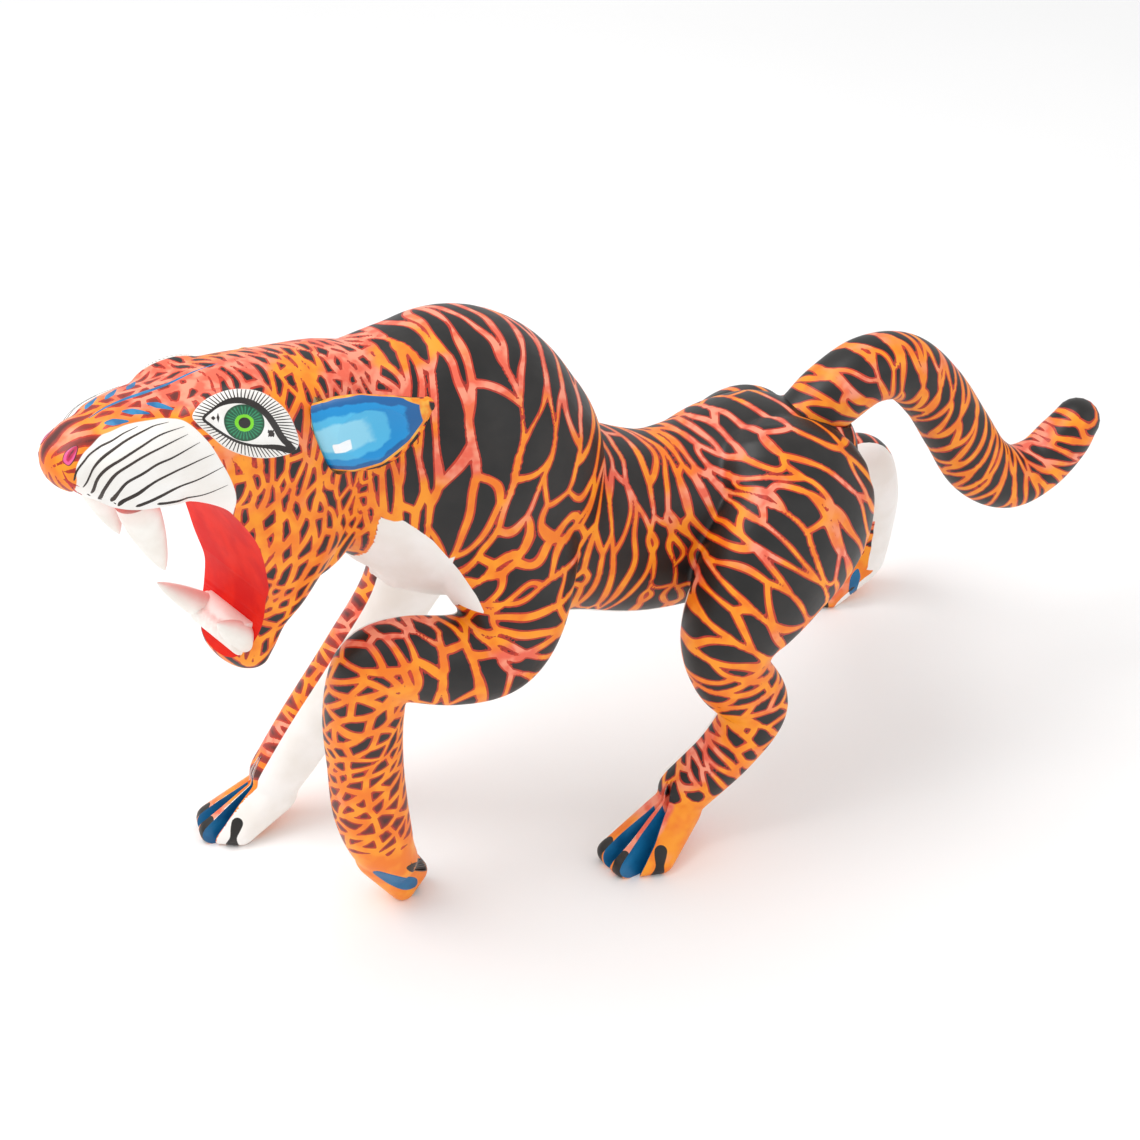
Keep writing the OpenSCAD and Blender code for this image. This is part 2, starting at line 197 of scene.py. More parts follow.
def loft(rows, sides=48, steps=8, power=SECTION_POWER, start=5, end=5):
    """Sections swept along the rows, rounded over at both ends: points and faces."""
    r, t, s, u, _ = skeleton(rows, steps)
    a = circle(sides)
    c, d = (np.sign(v) * np.abs(v) ** (2 / power) for v in (np.cos(a), np.sin(a)))

    def ring(i, ahead, share):
        return (r[i, :3] + ahead * t[i] + share * r[i, 3] * np.outer(c, s[i])
                + share * r[i, 4] * np.outer(d, u[i]))

    def cap(i, count, way):
        angles = [math.pi / 2 * (k - 0.15) / count for k in range(1, count + 1)]
        return [ring(i, way * min(r[i, 3:5]) * math.sin(g), math.cos(g)) for g in angles]

    rings = cap(0, start, -1)[::-1] + [ring(i, 0, 1) for i in range(len(r))] + cap(-1, end, 1)
    return np.vstack(rings), walls(len(rings), sides)


def ball(middle, radii, tilt=None, sides=24, rings=14):
    """An egg shape; tilt is a 3x3 matrix."""
    a = circle(sides)
    points = [[[0, 0, -1.0]]]
    for k in range(1, rings):
        g = -np.pi / 2 + np.pi * k / rings
        points.append(np.column_stack([np.cos(a) * np.cos(g), np.sin(a) * np.cos(g), np.full(sides, np.sin(g))]))
    p = np.vstack(points + [[[0, 0, 1.0]]]) * np.array(radii, float)
    if tilt is not None:
        p = p @ tilt.T
    skin = (np.array(walls(rings - 1, sides)[1:-1]) + 1).tolist()
    last = len(p) - 1
    faces = []
    for j in range(sides):
        k = (j + 1) % sides
        faces += [[0, 1 + k, 1 + j], *skin[j::sides], [last - sides + j, last - sides + k, last]]
    return p + np.array(middle, float), faces


def between(low, high):
    """The closed shape between two rings of points."""
    bottom, *sides, top = walls(2, len(low))
    return np.vstack([low, high]), [bottom, top, *sides]


def prism(outline, low, high):
    """A closed outline in X and Z, extruded along Y."""
    x, z = np.array(outline, float).T
    return between(*(np.column_stack([x, np.full(len(x), y), z]) for y in (low, high)))


def tube(a, b, ra, rb=None, sides=48):
    """A round bar from a to b."""
    a, b = np.array(a, float), np.array(b, float)
    t = unit(b - a)
    s = unit(np.cross(t, [0, 1, 0] if abs(t[1]) < 0.9 else [1, 0, 0]))
    g = circle(sides)
    around = np.outer(np.cos(g), s) + np.outer(np.sin(g), np.cross(t, s))
    return between(a + ra * around, b + (rb or ra) * around)


def joined(shapes):
    points, faces, start = [], [], 0
    for p, f in shapes:
        points.append(p)
        faces += [[i + start for i in face] for face in f]
        start += len(p)
    return np.vstack(points), faces


def finished(bm):
    """The points and faces of a bmesh, which is then freed."""
    bm.verts.index_update()
    shape = np.array([v.co[:] for v in bm.verts]), [[v.index for v in f.verts] for f in bm.faces]
    bm.free()
    return shape


def outward(points, faces):
    """The same closed shape with its faces turned outwards."""
    bm = bmesh.new()
    verts = [bm.verts.new(q) for q in points]
    for f in faces:
        bm.faces.new([verts[i] for i in f])
    bmesh.ops.recalc_face_normals(bm, faces=bm.faces)
    return points, finished(bm)[1]


def turn(axis, degrees):
    """The matrix that turns points about the x, y or z axis."""
    a, i = math.radians(degrees), "xyz".index(axis)
    j, k = (i + 1) % 3, (i + 2) % 3
    m = np.eye(3)
    m[[j, j, k, k], [j, k, j, k]] = math.cos(a), -math.sin(a), math.sin(a), math.cos(a)
    return m


HEAD_MATRIX = turn("z", HEAD_TURN)


def from_head(points):
    return np.asarray(points, float) @ HEAD_MATRIX.T + HEAD_SEAT


def to_head(points):
    return (np.asarray(points, float) - HEAD_SEAT) @ HEAD_MATRIX


def in_head(shape):
    return from_head(shape[0]), shape[1]


def ear_stand(side):
    """How an ear is turned in the head's frame, and where it sits. The right one is mirrored afterwards."""
    seat, lift = (EAR_SEAT_LEFT, EAR_LIFT_LEFT) if side < 0 else (EAR_SEAT_RIGHT, EAR_LIFT_RIGHT)
    return turn("z", EAR_BACK) @ turn("x", 90 - lift), seat


def from_ear(points, side):
    """From an ear's own frame, whose Z runs out of the head, to the figure's. The right ear mirrors the left one."""
    matrix, seat = ear_stand(side)
    p = np.asarray(points) @ matrix.T + seat
    return from_head(p * [1, -1, 1] if side > 0 else p)


def at_ear(shape, side):
    return from_ear(shape[0], side), shape[1]


def ear_pocket(side):
    """The flared oval pocket that an ear stands in."""
    g = circle(48)
    low, high = (np.column_stack([1 + thick * np.cos(g), wide * np.sin(g), np.full(48, z)])
                 for thick, wide, z in ((8, 18.8, -4.3), (12.8, 20.7, 35.7)))
    return at_ear(between(low, high), side)


def closed_line(points, count):
    """A smooth closed line through points, with count points evenly spread."""
    p = np.array(points, float)
    n = len(p)
    out = [curve(*(p[(i + k) % n] for k in (-1, 0, 1, 2)), t) for i in range(n)
           for t in np.linspace(0, 1, 24, endpoint=False)]
    out = np.array(out + out[:1])
    run = run_along(out)
    at = np.linspace(0, run[-1], count)
    return np.column_stack([np.interp(at, run, out[:, 0]), np.interp(at, run, out[:, 1])])


def inside_by(points, line):
    """How far each point lies inside a closed line; outside is less than 0."""
    a, b = line[:-1], line[1:]
    ab = b - a
    ap = points[:, None] - a[None]
    f = np.clip(np.einsum("nij,ij->ni", ap, ab) / np.maximum(np.einsum("ij,ij->i", ab, ab), 1e-12), 0, 1)
    d = np.linalg.norm(ap - f[..., None] * ab[None], axis=2).min(1)
    x, y = points[:, 0][:, None], points[:, 1][:, None]
    with np.errstate(divide="ignore", invalid="ignore"):
        cross = ((a[:, 1] > y) != (b[:, 1] > y)) & (
            x < (b[:, 0] - a[:, 0]) * (y - a[:, 1]) / (b[:, 1] - a[:, 1]) + a[:, 0])
    return np.where(cross.sum(1) % 2 == 1, d, -d)


# ---- Blender meshes
def add_object(name, data):
    obj = bpy.data.objects.new(name, data)
    bpy.context.scene.collection.objects.link(obj)
    return obj


def make_mesh(name, points, faces, *materials):
    """A mesh object from points in millimetres in the figure's frame."""
    mesh = bpy.data.meshes.new(name)
    mesh.from_pydata(((np.asarray(points) + CENTRING) * MM).tolist(), [], [list(map(int, f)) for f in faces])
    mesh.validate()
    mesh.shade_smooth()
    coat(mesh, *materials)
    return add_object(name, mesh)


def coat(mesh, *materials):
    for m in materials:
        mesh.materials.append(m)


def crisp(mesh, degrees):
    """Smooth shading that breaks where two faces meet at more than some degrees."""
    mesh.shade_smooth()
    mesh.set_sharp_from_angle(angle=math.radians(degrees))


def use(obj, kind, **settings):
    """Adds a modifier and applies it."""
    m = obj.modifiers.new(kind, kind)
    for k, v in settings.items():
        setattr(m, k, v)
    dg = bpy.context.evaluated_depsgraph_get()
    mesh = bpy.data.meshes.new_from_object(obj.evaluated_get(dg))
    obj.modifiers.clear()
    old = obj.data
    obj.data = mesh
    bpy.data.meshes.remove(old)


def drop(obj):
    mesh = obj.data
    bpy.data.objects.remove(obj)
    bpy.data.meshes.remove(mesh)


def carve(obj, shape, paint=None, operation="DIFFERENCE"):
    """Cuts an object by a closed shape, whose cut faces may get a paint of their own."""
    knife = make_mesh("knife", *outward(*shape))
    settings = {}
    if paint is not None:
        coat(knife.data, *PAINTS)
        settings["material_mode"] = "INDEX"
        for i, face in enumerate(knife.data.polygons):
            bare = paint is BLUE and i < VALLEY_TOP_FACES
            face.material_index = PAINTS.index(STRIPES if bare else paint)
    use(obj, "BOOLEAN", operation=operation, object=knife, solver="EXACT", **settings)
    drop(knife)


def read(items, name, width=1, kind=np.float32):
    """One property of all points, corners or faces of a mesh."""
    values = np.zeros(len(items) * width, kind)
    items.foreach_get(name, values)
    return values.reshape(-1, width) if width > 1 else values


def points_of(mesh):
    """A mesh's points in millimetres in the figure's frame."""
    return read(mesh.vertices, "co", 3).astype(float) / MM - CENTRING


def normals_of(mesh):
    return read(mesh.vertex_normals, "vector", 3).astype(float)


def keep_inside(mesh, low, high):
    """Moves the points that lie outside a box, given in metres, onto it."""
    mesh.vertices.foreach_set("co", np.clip(read(mesh.vertices, "co", 3), low, high).ravel())
    mesh.update()


def store(mesh, **values):
    """Numbers kept for the paint at every point of a mesh; a single number goes to all points."""
    for name, value in values.items():
        a = mesh.attributes.get(name) or mesh.attributes.new(name, "FLOAT", "POINT")
        a.data.foreach_set("value", np.full(len(mesh.vertices), value, np.float32))


# ---- materials
class Value:
    """A socket of a paint that can be reckoned with like a number."""

    def __init__(self, paint, socket):
        self.paint, self.socket = paint, socket

    def __add__(self, other):
        return self.paint.maths("ADD", self, other)

    def __radd__(self, other):
        return self.paint.maths("ADD", other, self)

    def __sub__(self, other):
        return self.paint.maths("SUBTRACT", self, other)

    def __mul__(self, other):
        return self.paint.maths("MULTIPLY", self, other)

    def __abs__(self):
        return self.paint.maths("ABSOLUTE", self)


class Paint:
    """A node material put together step by step, from values, numbers and colours written as text."""

    def __init__(self, name):
        self.material = bpy.data.materials.new(name)
        self.material.use_nodes = True
        self.tree = self.material.node_tree
        self.shader = next(n for n in self.tree.nodes if n.type == "BSDF_PRINCIPLED")

    def node(self, kind, output, inputs, **settings):
        n = self.tree.nodes.new("ShaderNode" + kind)
        for k, v in settings.items():
            setattr(n, k, v)
        self.feed(n, inputs)
        return Value(self, n.outputs[output])

    def feed(self, node, inputs):
        for key, value in inputs.items():
            if isinstance(value, Value):
                self.tree.links.new(value.socket, node.inputs[key])
            else:
                node.inputs[key].default_value = colour(value) if isinstance(value, str) else value

    def maths(self, operation, a, b=0.0):
        return self.node("Math", 0, {0: a, 1: b}, operation=operation)

    def value(self, name):
        return self.node("Attribute", "Fac", {}, attribute_name=name)

    def place(self, size=(1, 1, 1)):
        own = self.node("TexCoord", "Object", {})
        return self.node("Mapping", 0, {"Vector": own, "Scale": size})

    def noise(self, scale, detail=2.0, rough=0.5, at=None):
        inputs = {"Vector": at or self.place(), "Scale": scale, "Detail": detail, "Roughness": rough}
        return self.node("TexNoise", "Fac", inputs)

    def over(self, value, low, high):
        """0 below low, 1 above high."""
        inputs = {"Value": value, "From Min": low, "From Max": high}
        return self.node("MapRange", 0, inputs, interpolation_type="SMOOTHSTEP")

    def mix(self, share, a, b):
        return self.node("Mix", 2, {0: share, 6: a, 7: b}, data_type="RGBA")

    def shift(self, value, low, high, a, b):
        """The colour a where the value is below low, and b where it is above high."""
        return self.mix(self.over(value, low, high), a, b)

    def bump(self, height, strength):
        inputs = {"Strength": strength, "Distance": 0.0002, "Height": height}
        return self.node("Bump", 0, inputs)

    def done(self, base, rough, **inputs):
        inputs = {k.replace("_", " "): v for k, v in inputs.items()}
        self.feed(self.shader, {"Base Color": base, "Roughness": rough, **inputs})
        return self.material


def colour(text):
    """A colour given as six hexadecimal digits, in linear light."""
    c = [int(text[i:i + 2], 16) / 255 for i in (0, 2, 4)]
    return tuple(v / 12.92 if v <= 0.04045 else ((v + 0.055) / 1.055) ** 2.4 for v in c) + (1.0,)


def grain_bump(p, strength=0.25):
    fine = p.noise(900, 3, 0.6, p.place((1, 1, 1)))
    brush = p.noise(260, 2, 0.5, p.place((0.25, 1, 1)))
    return p.bump(fine * 0.4 + brush, strength)


def stripe_paint(name="striped_paint", ear=False):
    p = Paint(name)
    fine = p.noise(420, 2, 0.6)
    e = p.value("edge") + (fine - 0.5) * 0.3
    rib = p.value("rib")
    # Share of salmon pink in the ribbons: partly the paint's own random tone, partly painted light from above on
    # upward-facing surfaces.
    broad = p.over(p.value("pink") + (p.noise(60, 2, 0.5) - 0.5), 0.25, 0.8)
    orange = p.shift(p.noise(90, 2), 0.35, 0.65, "f67c08", "ff9c14")
    pink = p.shift(p.noise(120, 2), 0.4, 0.6, "f0674c", "fb9a7c")
    ribbon = p.mix(broad, orange, pink)
    ink = p.shift(p.noise(60, 3), 0.3, 0.75, "0e0c0b", "211d1b")
    outline = p.shift(fine, 0.3, 0.7, "a3200f", "cf3414")
    line_end = rib + 0.8
    brick = p.shift(e, line_end + 0.5, line_end + 2.0, "9a2a1a", "5a1c14")
    cell = p.mix(p.value("warm"), ink, brick)
    c = p.shift(e, line_end - 0.12, line_end + 0.12, outline, cell)
    c = p.shift(e, rib - 0.12, rib + 0.12, ribbon, c)
    whites = p.shift(p.noise(50, 3), 0.3, 0.7, "f3efe9", "fbf9f6")
    c = p.shift(p.value("white"), -0.15, 0.15, c, whites)
    c = p.shift(p.value("claw"), -0.12, 0.12, c, ink)
    if ear:
        # The hollow of an ear: pale blue at the root, in brushed bands to deep blue at the rim.
        e = p.value("depth") + (p.noise(160, 3) - 0.5) * 3.0
        blue = p.shift(e, 3.4, 4.2, "0a5f9e", "0c8fd2")
        blue = p.shift(e, 7.0, 8.2, blue, "4fb9e6")
        blue = p.shift(e, 10.5, 12.0, blue, "8fd6f0")
        # A near-white patch low in the hollow is a painted highlight.
        blue = p.shift(p.value("light"), -0.15, 0.15, blue, "fbfdff")
        rim = p.shift(p.noise(200, 2), 0.4, 0.6, "f28a1a", "f7b03a")
        c = p.shift(p.value("inner"), -1.6, -1.3, c, rim)
        c = p.shift(p.value("inner"), -0.1, 0.1, c, blue)
    return p.done(c, 0.36 + p.noise(140, 3) * 0.16, Normal=grain_bump(p))


def plain_paint(name, first, second, rough, scale=60.0, strength=0.25, **inputs):
    p = Paint(name)
    c = p.shift(p.noise(scale, 3), 0.35, 0.65, first, second)
    r = rough - 0.06 + p.noise(scale * 2.3, 3) * 0.14
    return p.done(c, r, Normal=grain_bump(p, strength), **inputs)


STRIPES = stripe_paint()
RED = plain_paint("mouth_red", "dd0f08", "ee2410", 0.6, Specular_IOR_Level=0.2)
WOOD = plain_paint("raw_wood", "cda874", "dcbb8a", 0.7, 80.0, 0.5)
BLUE = plain_paint("toe_blue", "04588a", "0a6ea0", 0.45, 70.0)
PAINTS = [STRIPES, RED, BLUE, WOOD]
# The first faces of a toe valley lie above its blue.
VALLEY_TOP_FACES = 6


# ---- the figure carved in one go, then parted
def convex(shapes):
    """The convex skin round some shapes."""
    bm = bmesh.new()
    for points, _ in shapes:
        for q in points:
            bm.verts.new(q)
    made = bmesh.ops.convex_hull(bm, input=bm.verts)
    loose = {v for v in made["geom_interior"] if isinstance(v, bmesh.types.BMVert)}
    loose |= {v for v in bm.verts if not v.link_faces}
    bmesh.ops.delete(bm, geom=list(loose), context="VERTS")
    return finished(bm)


def paw_form(leg):
    """A paw: a wedge that spreads from the ankle to three toe tips, with a low ridge along each toe."""
    ankle, *tips = PAWS[leg]
    shapes = [convex([ball(ankle, (13, 13, 13))] + [ball(t, (6.5, 6.5, 6.5)) for t in tips])]
    for t in tips:
        way = t - ankle
        shapes.append(convex([ball(ankle + 0.15 * way, (8, 8, 11)), ball(ankle + 0.6 * way + [0, 0, 3.5], (6, 6, 6)),
                              ball(t, (6.5, 6.5, 6.5))]))
    return shapes


def toe_valleys(leg):
    """The two carved valleys between a paw's toes."""
    ankle, *tips = PAWS[leg]
    top = ankle[2] + 11
    made = []
    for one, two in zip(tips[:-1], tips[1:]):
        ahead = ((one + two) / 2 - ankle) * [1, 1, 0]
        reach = np.linalg.norm(ahead)
        ahead /= reach
        beside = np.array([-ahead[1], ahead[0], 0.0])
        half = 0.5 * abs((two - one) @ beside) - 2.4
        rings = []
        for share, open_to, bottom, brim in ((0.16, 0.15, 1.0, 1.0), (0.5, 0.5, 0.62, 0.8), (0.85, 0.92, 0.16, 0.5),
                                             (1.6, 1.5, -0.5, 0.1)):
            at = ankle * [1, 1, 0] + ahead * reach * share
            w = max(half * open_to, 0.2)
            rise = max(top * brim, top * bottom + 1)
            for across, height in ((0, top * bottom), (w, rise), (w, top + 30), (-w, top + 30), (-w, rise)):
                rings.append(at + across * beside + [0, 0, height])
        rings[5:5] = [0.4 * a + 0.6 * b for a, b in zip(rings[:5], rings[5:10])]
        made.append((np.array(rings), walls(5, 5)))
    return made


def gape():
    """All that the open mouth takes away, right through the head."""
    return in_head(prism([(-170, 34)] + smooth_rows(GAPE, 12).tolist() + [(-170, -93)], -80, 80))


forms = [loft(TORSO, 64), in_head(loft(SKULL, 56)), in_head(loft(CHEEK, 56)), in_head(loft(THROAT, 56, end=3))]
forms += [loft(rows) for rows in (FRONT_LEFT, FRONT_RIGHT, HIND_LEFT, HIND_RIGHT)]
for side in (-1, 1):
    # Brow, muzzle pad and cheek swell out of the skull.
    forms.append(in_head(ball((-66, side * 17, 47), (20, 10, 10), turn("z", side * 8))))
    forms.append(in_head(ball((-98, side * 15, 24), (22, 14, 17), turn("y", -8))))
forms.append(in_head(ball((-116, 0, 44), (15, 15, 12))))
for leg in PAWS:
    forms += paw_form(leg)

whole = make_mesh("whole", *joined(forms))
use(whole, "REMESH", mode="VOXEL", voxel_size=VOXEL * MM)
use(whole, "SMOOTH", factor=0.5, iterations=8)
coat(whole.data, *PAINTS)
carve(whole, gape(), RED)
# The pockets and bores of the tail and the ears, and the valleys between the toes.
carve(whole, tube(TAIL_SEAT - 0.3 * TAIL_WAY, TAIL_SEAT + 39.7 * TAIL_WAY, 16.3, 22), WOOD)
carve(whole, tube(TAIL_SEAT - 28.2 * TAIL_WAY, TAIL_SEAT + 2 * TAIL_WAY, TAIL_PEG + BORE_GAP), WOOD)
for side in (-1, 1):
    carve(whole, ear_pocket(side), WOOD)
    carve(whole, at_ear(tube([0, 0, -16.4], [0, 0, -3], EAR_PEG + BORE_GAP, sides=32), side), WOOD)
for leg in PAWS:
    for shape in toe_valleys(leg):
        carve(whole, shape, BLUE)
# Nothing goes below the floor.
keep_inside(whole.data, (-1, -1, 0), (1, 1, 1))
crisp(whole.data, 38)

# Which piece each point of the carving belongs to: the limb whose line is nearest for its thickness.
LINES = {
    "torso": TORSO, "front_leg_left": FRONT_LEFT, "front_leg_right": FRONT_RIGHT,
    "hind_leg_left": HIND_LEFT, "hind_leg_right": HIND_RIGHT,
}
P = points_of(whole.data)
H = to_head(P)
(X, _, Z), (HX, HY, HZ) = P.T, H.T


def near_line(points, rows):
    """For each point: its distance from the rows' line over the thickness there, and how far along it lies."""
    r, t, _, _, run = skeleton(rows, 4)
    best = np.full(len(points), 1e9)
    at = np.zeros(len(points), int)
    for i in range(len(r)):
        d = np.linalg.norm(points - r[i, :3], axis=1) / (0.5 * (r[i, 3] + r[i, 4]))
        closer = d < best
        best[closer], at[closer] = d[closer], i
    return best, run[at] + np.einsum("ij,ij->i", points - r[at, :3], t[at])


names = list(LINES)
spans = {n: near_line(P, LINES[n]) for n in names}
share = np.column_stack([spans[n][0] for n in names])
share[:, 0] *= 0.92
owner = share.argmin(1)
for leg in PAWS:
    low = np.linalg.norm(P - PAWS[leg][0], axis=1) < 60
    owner[low & (Z < 40)] = names.index(leg)
names += ["head", "lower_jaw"]
is_head = (HX < 0) & (Z > 150) & ((owner == 0) | (HX < -24) & (HY > -45))
owner[is_head] = names.index("head")
owner[is_head & (HZ < JAW_SEAM_Z)] = names.index("lower_jaw")


def on(name):
    return owner == names.index(name)


# ---- the painted pattern
rng = np.random.default_rng(7)
WAVES = [(rng.normal(size=3), rng.uniform(0, 6.28), rng.normal(size=3)) for _ in range(12)]


def wobble(points, length, size):
    """A smooth wandering of the points, about size far over about length."""
    out = np.zeros_like(points)
    for way, start, push in WAVES:
        phase = points @ unit(way) * (2 * math.pi / (length * (0.7 + 0.6 * (start / 6.28))))
        out += np.outer(np.sin(phase + start), unit(push))
    return out * (size / math.sqrt(len(WAVES) / 2))


def ripple(points, length, seed):
    """A smooth number that changes over about length, mostly between -1 and 1."""
    r = np.random.default_rng(seed)
    out = np.zeros(len(points))
    for _ in range(10):
        way = unit(r.normal(size=3))
        out += np.sin(points @ way * (2 * math.pi / (length * r.uniform(0.7, 1.4))) + r.uniform(0, 6.28))
    return out / math.sqrt(5)


def step(at, low, high):
    """low up to a share of the way along a limb, and high beyond it."""
    return lambda f, *_: low if f < at else high


def seeds_along(rows, gap, arc, ratio, tilt=0.0, span=(0.0, 1.0), keep=None):
    """Centres of black stripes round a limb: gap apart along it and about arc long round it.
    Each seed is x, y, z, the way across the stripe (3 numbers), and how much longer than wide it is."""
    def given(value, *where):
        return value(*where) if callable(value) else value

    r, t, s, u, run = skeleton(rows, 8)
    out = []
    row, at = 0, span[0] * run[-1]
    while at < span[1] * run[-1]:
        f = at / run[-1]
        g = given(gap, f)
        i = min(int(np.searchsorted(run, at)), len(r) - 1)
        n = max(2, int(round(2 * math.pi * 0.5 * (r[i, 3] + r[i, 4]) / given(arc, f))))
        for j in range(n):
            a = 2 * math.pi * (j + 0.5 * (row % 2) + rng.uniform(-JITTER, JITTER)) / n
            if keep is not None and not keep(f, a % (2 * math.pi)):
                continue
            push = rng.uniform(-JITTER, JITTER) * g * 1.6
            c, d = math.cos(a), math.sin(a)
            p = r[i, :3] + push * t[i] + r[i, 3] * c * s[i] + r[i, 4] * d * u[i]
            lean = math.radians(given(tilt, f, a)) + rng.uniform(-0.12, 0.12)
            around = unit(-r[i, 3] * d * s[i] + r[i, 4] * c * u[i])
            out.append([*p, *(math.cos(lean) * t[i] - math.sin(lean) * around), given(ratio, f)])
        at += g
        row += 1
    return out


def cells(points, seeds, normals):
    """How far each point is, along the surface, from the border of its stripe, and which stripe that is."""
    s = np.array(seeds, np.float32)
    edge = np.zeros(len(points), np.float32)
    nearest = np.zeros(len(points), int)
    order = np.argsort(points[:, 0])
    for start in range(0, len(points), 8000):
        rows = order[start:start + 8000]
        x = points[rows].astype(np.float32)
        reach = np.flatnonzero((s[:, 0] > x[:, 0].min() - 45) & (s[:, 0] < x[:, 0].max() + 45))
        near = s[reach]
        pos, way, k = near[:, :3], near[:, 3:6], 1 / near[:, 6] ** 2
        flat = x @ way.T - np.einsum("ij,ij->i", pos, way)
        full = np.einsum("ij,ij->i", x, x)[:, None] + np.einsum("ij,ij->i", pos, pos) - 2 * x @ pos.T
        d = flat ** 2 * (1 - k) + np.maximum(full, 0) * k
        two = np.argpartition(d, 1, axis=1)[:, :2]
        row = np.arange(len(x))
        swap = d[row, two[:, 0]] > d[row, two[:, 1]]
        two[swap] = two[swap][:, ::-1]
        a, b = two[:, 0], two[:, 1]

        def slope(i):
            return 2 * ((1 - k[i]) * flat[row, i])[:, None] * way[i] + 2 * k[i][:, None] * (x - pos[i])

        g = slope(b) - slope(a)
        n = normals[rows].astype(np.float32)
        g -= np.einsum("ij,ij->i", g, n)[:, None] * n
        edge[rows] = (d[row, b] - d[row, a]) / np.maximum(np.linalg.norm(g, axis=1), 0.3)
        nearest[rows] = reach[a]
    return edge.astype(float), nearest


def settled(mesh, points, edge, nearest):
    """Starts edge where neighbouring points belong to different stripes, and lets it grow no faster than the way."""
    a, b = read(mesh.edges, "vertices", 2, np.int32).T
    far = np.linalg.norm(points[a] - points[b], axis=1)
    share = edge[a] / np.maximum(edge[a] + edge[b], 1e-6)
    cross = nearest[a] != nearest[b]
    np.minimum.at(edge, a[cross], (share * far)[cross])
    np.minimum.at(edge, b[cross], ((1 - share) * far)[cross])
    for _ in range(4):
        grown = edge.copy()
        np.minimum.at(grown, a, edge[b] + far)
        np.minimum.at(grown, b, edge[a] + far)
        edge = grown
    return edge


def paint_stripes(mesh, points, stripes, normals):
    """Stripes that lie inside the wood or are too thin to paint are given up to their neighbours."""
    stripes = [q for q in stripes if np.linalg.norm(points[::3] - np.array(q[:3]), axis=1).min() < 5]
    moved = points + wobble(points, 52, 2.4) + wobble(points, 21, 0.7)
    edge, nearest = cells(moved, stripes, normals)
    widest = np.zeros(len(stripes))
    np.maximum.at(widest, nearest, edge)
    return settled(mesh, points, *cells(moved, [q for q, w in zip(stripes, widest) if w > 2.0], normals))


head_rows, cheek_rows = ([[*from_head(r[:3]), r[3], r[4]] for r in rows] for rows in (SKULL, CHEEK))
seeds = [
    *seeds_along(TORSO, step(0.12, 6, 7.4), step(0.15, 42, 62), 4.9, 14),
    *seeds_along(FRONT_LEFT, step(0.42, 7, 4.6), step(0.42, 45, 16), step(0.42, 3.9, 2.1), step(0.42, 18, 32)),
    *seeds_along(FRONT_RIGHT, step(0.3, 6.5, 5.2), step(0.4, 40, 26), 3.1, 18),
    *seeds_along(HIND_LEFT, step(0.5, 7.4, 5), step(0.5, 62, 26), step(0.5, 4.8, 3.0), -18),
    *seeds_along(HIND_RIGHT, 6, step(0.4, 46, 30), 3.4, -15),
    *seeds_along(head_rows, step(0.6, 9, 6.5), step(0.6, 9, 7), 2.2, 78, keep=lambda f, a: f > 0.66 or 0.75 < a < 2.4),
    *seeds_along(head_rows, 4.4, 18, 2.7, 14, span=(0.0, 0.66), keep=lambda f, a: not 0.75 < a < 2.4),
    *seeds_along(cheek_rows, 9.5, 7.5, 2.5, 82, span=(0.3, 1.0)),
]
tail_seeds = seeds_along(TAIL, 5.8, 50, 5.2, 24)

N = normals_of(whole.data)
NX, NY, NZ = N.T
edge = paint_stripes(whole.data, P, seeds, N)
rib = RIBBON + 0.28 * ripple(P, 26, 3)
# Salmon pink in the ribbons: the paint's own tone varies at random, and painted light makes upward-facing and higher
# surfaces pinker, as if lit from above.
pink = 0.1 + 0.75 * (NZ - 0.3) + 0.34 * ripple(P, 45, 5) + 0.4 * np.clip((Z - 205) / 40, 0, 1)
# A pale pink streak down the near hind paw's middle toe.
ankle, _, toe, _ = PAWS["hind_leg_left"]
along = np.clip((P - ankle) @ (toe - ankle) / ((toe - ankle) @ (toe - ankle)), -0.4, 0.8)
streak = 9 - np.linalg.norm((P - ankle - along[:, None] * (toe - ankle))[:, :2], axis=1)
pink = np.maximum(pink, np.where(Z < 38, 0.35 * streak, -1))

on_face = owner >= names.index("head")
pink = pink - 0.22 * on_face
# Dark red instead of black cells: on the muzzle and low on the front legs.
warm = np.clip((-66 - HX) / 22, 0, 0.9) * on_face
for leg, high, most in (("front_leg_right", 190, 0.95), ("front_leg_left", 120, 0.6)):
    warm = np.where(on(leg), most * np.clip((high - Z) / 60, 0, 1), warm)

# White paint under the belly, on the chest and inside the legs: more than 0 is white.
white = np.full(len(P), NOWHERE)


def whiten(mask, value):
    white[mask] = np.maximum(white[mask], value[mask])


chest = np.clip((-70 - X) / 35, 0, 1)
whiten(on("torso"), (-NZ - (0.72 - 0.6 * chest)) * 34)
# It reaches up to a line that falls from the throat to the near shoulder.
top = np.interp(X, [-160, -146, -135, -123, -113, -108, -104], [214, 217, 219, 207, 191, 180, 165])
front = np.minimum(top - Z, -0.8 * (103 + X))
whiten(on("torso"), front)
whiten(on("front_leg_left"), np.minimum(front, Z - 172))
whiten(on("front_leg_right"), np.minimum(front, Z - 150))

# The white muzzle pad, in x and z of the head's frame, on both sides.
MUZZLE = [
    (-129, 28), (-128.5, 38), (-127, 45.5), (-118.5, 51), (-105, 54.7), (-91.5, 54), (-85.5, 52.8), (-80, 50.3),
    (-75, 42), (-72, 33), (-69, 24), (-66.4, 14), (-65.6, 6), (-66, -4), (-80, -6), (-95, -2), (-120, 6), (-131, 18)]
pad = np.full(len(P), NOWHERE)
pad[on_face] = inside_by(H[on_face][:, [0, 2]], closed_line(MUZZLE, 181))
pad = np.where(np.abs(HY) > 4, pad, np.minimum(pad, 0.6 * (30 - HZ)))
whiten(on_face, pad)

